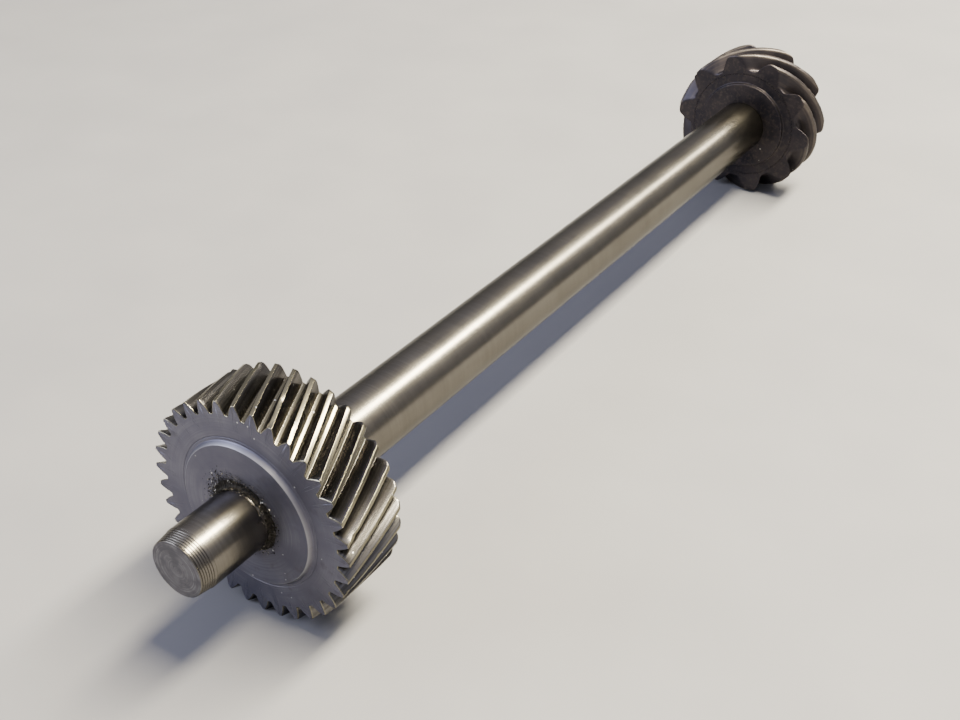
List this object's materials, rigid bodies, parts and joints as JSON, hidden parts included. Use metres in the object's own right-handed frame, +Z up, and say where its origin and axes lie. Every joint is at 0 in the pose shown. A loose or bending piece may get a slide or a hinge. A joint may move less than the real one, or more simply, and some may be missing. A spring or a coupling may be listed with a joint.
{
  "type": "worm gear set",
  "caption": "Compound gear shaft: a left-hand helical gear near one end, a long ground shaft, and a steep right-hand worm at the other, with a bearing journal at each end.",
  "frame": {"origin": "on the shaft's axis, at the middle of the front journal's bearing seat", "axes": "+Y along the shaft from the helical gear's end to the worm's end, +Z up"},
  "size_m": [0.0628, 0.3685, 0.0628],
  "materials": {
    "ground_steel": "ground and polished lengthwise, satin",
    "gear_steel": "machined face, ground flanks",
    "braze": "rough granular",
    "dark_steel": "oil-blackened",
    "key_steel": "drawn",
    "spring_steel": "phosphated spring steel"
  },
  "bodies": {
    "root": {"shaft": "ground_steel", "helical_gear": "gear_steel", "braze_ring": "braze", "worm": "dark_steel", "worm_key": "key_steel", "retaining_ring": "spring_steel"}
  },
  "joints": []
}
